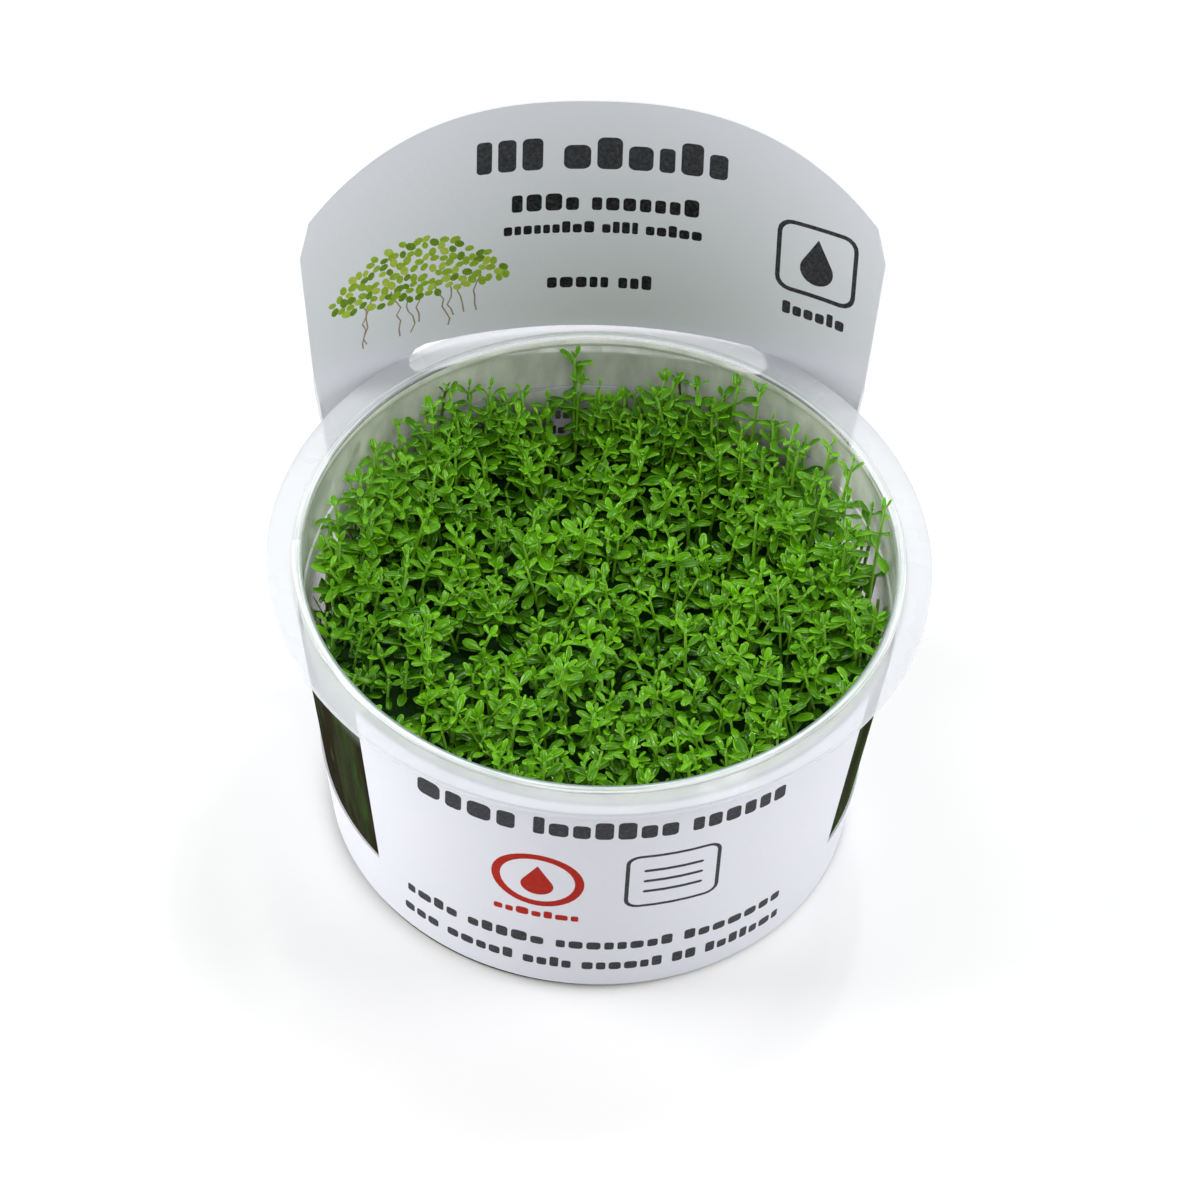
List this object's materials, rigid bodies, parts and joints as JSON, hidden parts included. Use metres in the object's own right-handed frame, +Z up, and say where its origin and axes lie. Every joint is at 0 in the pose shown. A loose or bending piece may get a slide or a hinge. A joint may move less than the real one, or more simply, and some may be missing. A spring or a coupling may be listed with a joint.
{
  "type": "dwarf baby tears plants in a tissue-culture cup",
  "caption": "Dense cushion of small-leaved aquarium carpet plants growing in a clear flanged cup, held in a white card sleeve with a tall rounded tab behind.",
  "frame": {"origin": "centre of the cup's base, on the surface it stands on", "axes": "+Z up along the cup's axis; the front of the cup faces -Y, the card's tab rises at +Y"},
  "size_m": [0.101, 0.1039, 0.0995],
  "materials": {
    "clear_plastic": "clear moulded plastic, glossy",
    "white_card": "white card with a fine grain, satin",
    "nutrient_gel": "cloudy olive gel, moist",
    "leaf_green": "fresh green leaves, moist"
  },
  "bodies": {
    "root": {"cup": "clear_plastic", "card_sleeve": "white_card", "growth_gel": "nutrient_gel", "plant_clump_01": "leaf_green", "plant_clump_02": "leaf_green", "plant_clump_03": "leaf_green", "plant_clump_04": "leaf_green", "plant_clump_05": "leaf_green", "plant_clump_06": "leaf_green", "plant_clump_07": "leaf_green", "plant_clump_08": "leaf_green", "plant_clump_09": "leaf_green", "plant_clump_10": "leaf_green", "plant_clump_11": "leaf_green", "plant_clump_12": "leaf_green", "plant_clump_13": "leaf_green", "plant_clump_14": "leaf_green", "plant_clump_15": "leaf_green", "plant_clump_16": "leaf_green", "plant_clump_17": "leaf_green", "plant_clump_18": "leaf_green", "plant_clump_19": "leaf_green"}
  },
  "joints": []
}
